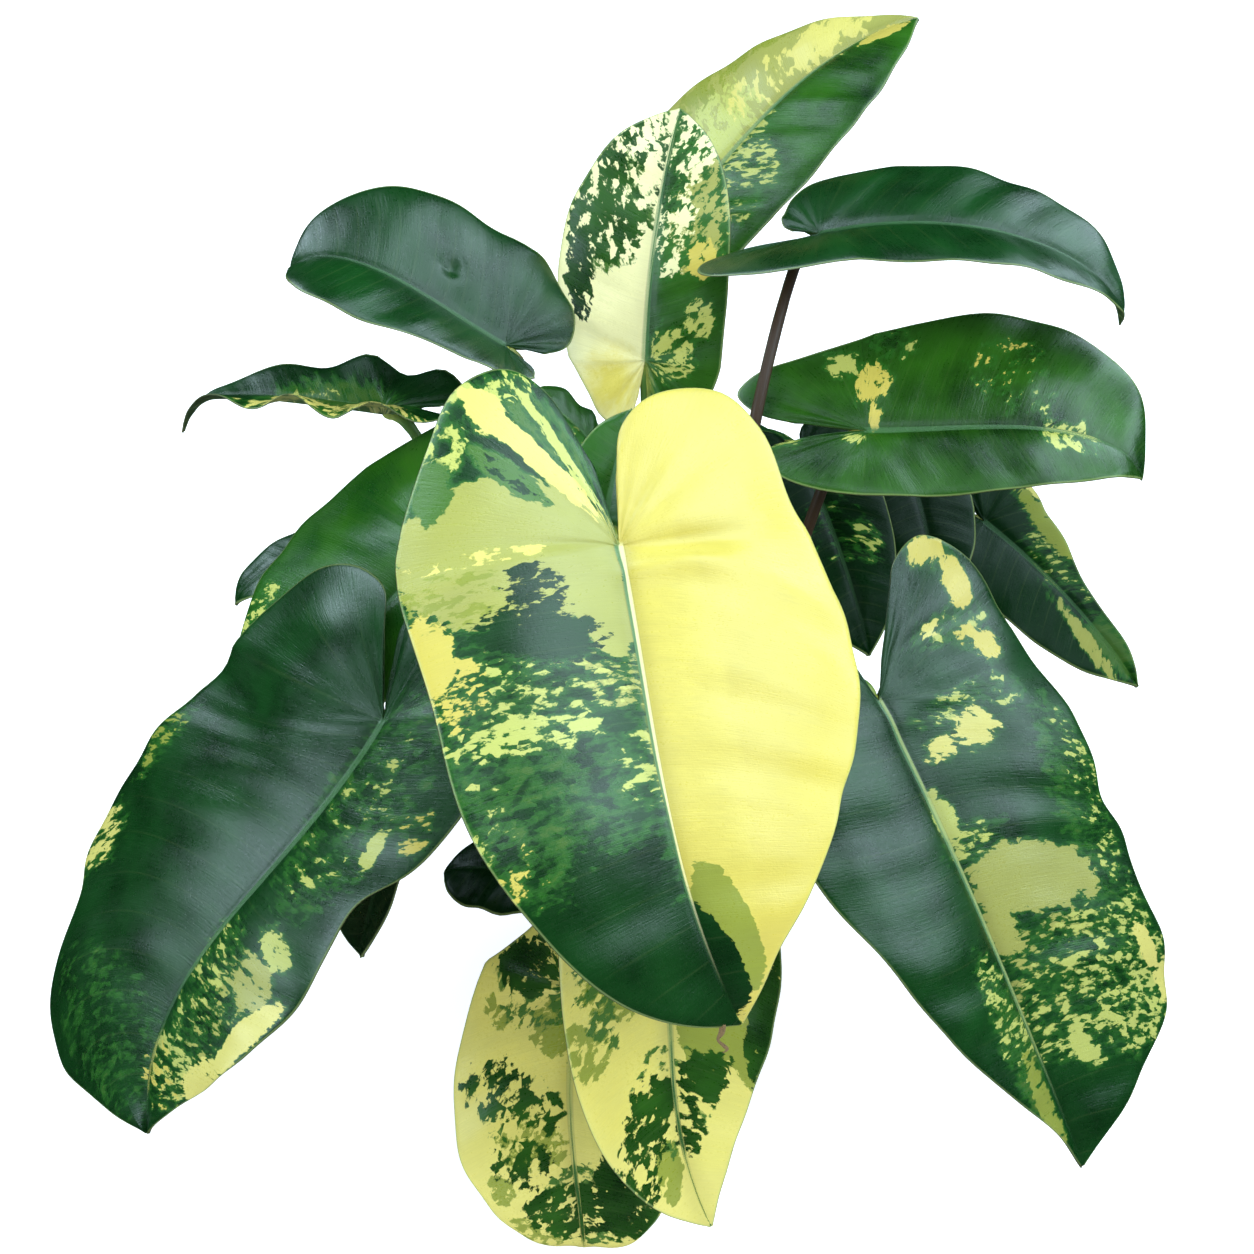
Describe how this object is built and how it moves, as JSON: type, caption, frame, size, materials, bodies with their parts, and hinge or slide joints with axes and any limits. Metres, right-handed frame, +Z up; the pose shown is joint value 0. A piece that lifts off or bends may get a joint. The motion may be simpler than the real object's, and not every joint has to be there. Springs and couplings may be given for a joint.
{
  "type": "potted variegated burle marx philodendron",
  "caption": "Bushy potted philodendron with long heart-shaped dark green leaves marbled in lime and cream, arching out on thin stalks from short stems in a plain round pot.",
  "frame": {"origin": "middle of the pot's flat bottom", "axes": "+Z up out of the pot, -Y towards the front, where the largest leaf hangs, +X to the viewer's right"},
  "size_m": [0.492, 0.4597, 0.3947],
  "materials": {
    "leaf": "satin",
    "stalk": "satin",
    "stem": "matte",
    "soil": "matte",
    "pot": "satin"
  },
  "bodies": {
    "root": {"blade_front_centre": "leaf", "stalk_front_centre": "stalk", "blade_front_left": "leaf", "stalk_front_left": "stalk", "blade_front_right": "leaf", "stalk_front_right": "stalk", "blade_low_centre": "leaf", "stalk_low_centre": "stalk", "blade_low_left": "leaf", "stalk_low_left": "stalk", "blade_top_centre": "leaf", "stalk_top_centre": "stalk", "blade_top_right": "leaf", "stalk_top_right": "stalk", "blade_upper_right": "leaf", "stalk_upper_right": "stalk", "blade_mid_right": "leaf", "stalk_mid_right": "stalk", "blade_upper_left": "leaf", "stalk_upper_left": "stalk", "blade_mid_left": "leaf", "stalk_mid_left": "stalk", "blade_left_green": "leaf", "stalk_left_green": "stalk", "blade_left_low_tip": "leaf", "stalk_left_low_tip": "stalk", "blade_right_inner": "leaf", "stalk_right_inner": "stalk", "blade_right_back": "leaf", "stalk_right_back": "stalk", "blade_right_low": "leaf", "stalk_right_low": "stalk", "blade_back_left": "leaf", "stalk_back_left": "stalk", "blade_back_inner": "leaf", "stalk_back_inner": "stalk", "blade_low_dark": "leaf", "stalk_low_dark": "stalk", "blade_under_left": "leaf", "stalk_under_left": "stalk", "blade_back_low_left": "leaf", "stalk_back_low_left": "stalk", "blade_back_low_right": "leaf", "stalk_back_low_right": "stalk", "blade_back_low_centre": "leaf", "stalk_back_low_centre": "stalk", "stem_front": "stem", "stem_right": "stem", "stem_left": "stem", "stem_back": "stem", "soil": "soil", "pot": "pot"}
  },
  "joints": []
}
